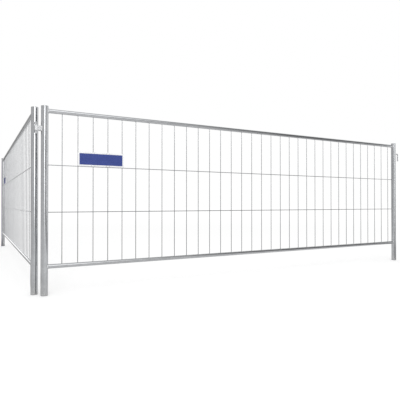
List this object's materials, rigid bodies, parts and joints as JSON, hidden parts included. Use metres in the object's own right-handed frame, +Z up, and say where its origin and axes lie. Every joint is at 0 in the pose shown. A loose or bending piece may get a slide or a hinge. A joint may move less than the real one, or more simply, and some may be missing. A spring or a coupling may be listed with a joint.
{
  "type": "temporary fence panel",
  "caption": "Low galvanised mesh fence panels of welded tube and wire, hooked at a corner by a bent prong in a strap eye, each with a blue sign plate; the side panel swings.",
  "frame": {"origin": "on the floor, on the axis of the front panel's corner post", "axes": "+X along the front panel away from the corner, +Y along the side panel away from the corner, +Z up"},
  "size_m": [3.5414, 3.5482, 1.2],
  "materials": {
    "galvanised_tube": "galvanised, semi-gloss",
    "galvanised_wire": "galvanised, semi-gloss",
    "galvanised_bar": "galvanised, matt",
    "sign_white": "gloss",
    "sign_blue": "gloss film",
    "clip_steel": "zinc plated",
    "rivet_aluminium": "satin"
  },
  "bodies": {
    "front_panel": {"front_left_post": "galvanised_tube", "front_right_post": "galvanised_tube", "front_post_caps": "galvanised_tube", "front_top_rail": "galvanised_tube", "front_bottom_rail": "galvanised_tube", "front_upright_wires": "galvanised_wire", "front_upper_cross_wire": "galvanised_wire", "front_lower_cross_wire": "galvanised_wire", "front_hook": "galvanised_bar", "front_eye": "galvanised_bar", "front_sign_plate": "sign_white", "front_sign_film": "sign_blue", "front_sign_clips": "clip_steel", "front_sign_rivets": "rivet_aluminium"},
    "side_panel": {"side_left_post": "galvanised_tube", "side_right_post": "galvanised_tube", "side_post_caps": "galvanised_tube", "side_top_rail": "galvanised_tube", "side_bottom_rail": "galvanised_tube", "side_upright_wires": "galvanised_wire", "side_upper_cross_wire": "galvanised_wire", "side_lower_cross_wire": "galvanised_wire", "side_hook": "galvanised_bar", "side_eye": "galvanised_bar", "side_sign_plate": "sign_white", "side_sign_film": "sign_blue", "side_sign_clips": "clip_steel", "side_sign_rivets": "rivet_aluminium"}
  },
  "joints": [
    {"name": "side_swing", "type": "hinge", "parent": "front_panel", "child": "side_panel", "pos_m": [-0.052, 0, 1.055], "axis": [0, 0, 1], "range_deg": [-45, 225]}
  ]
}
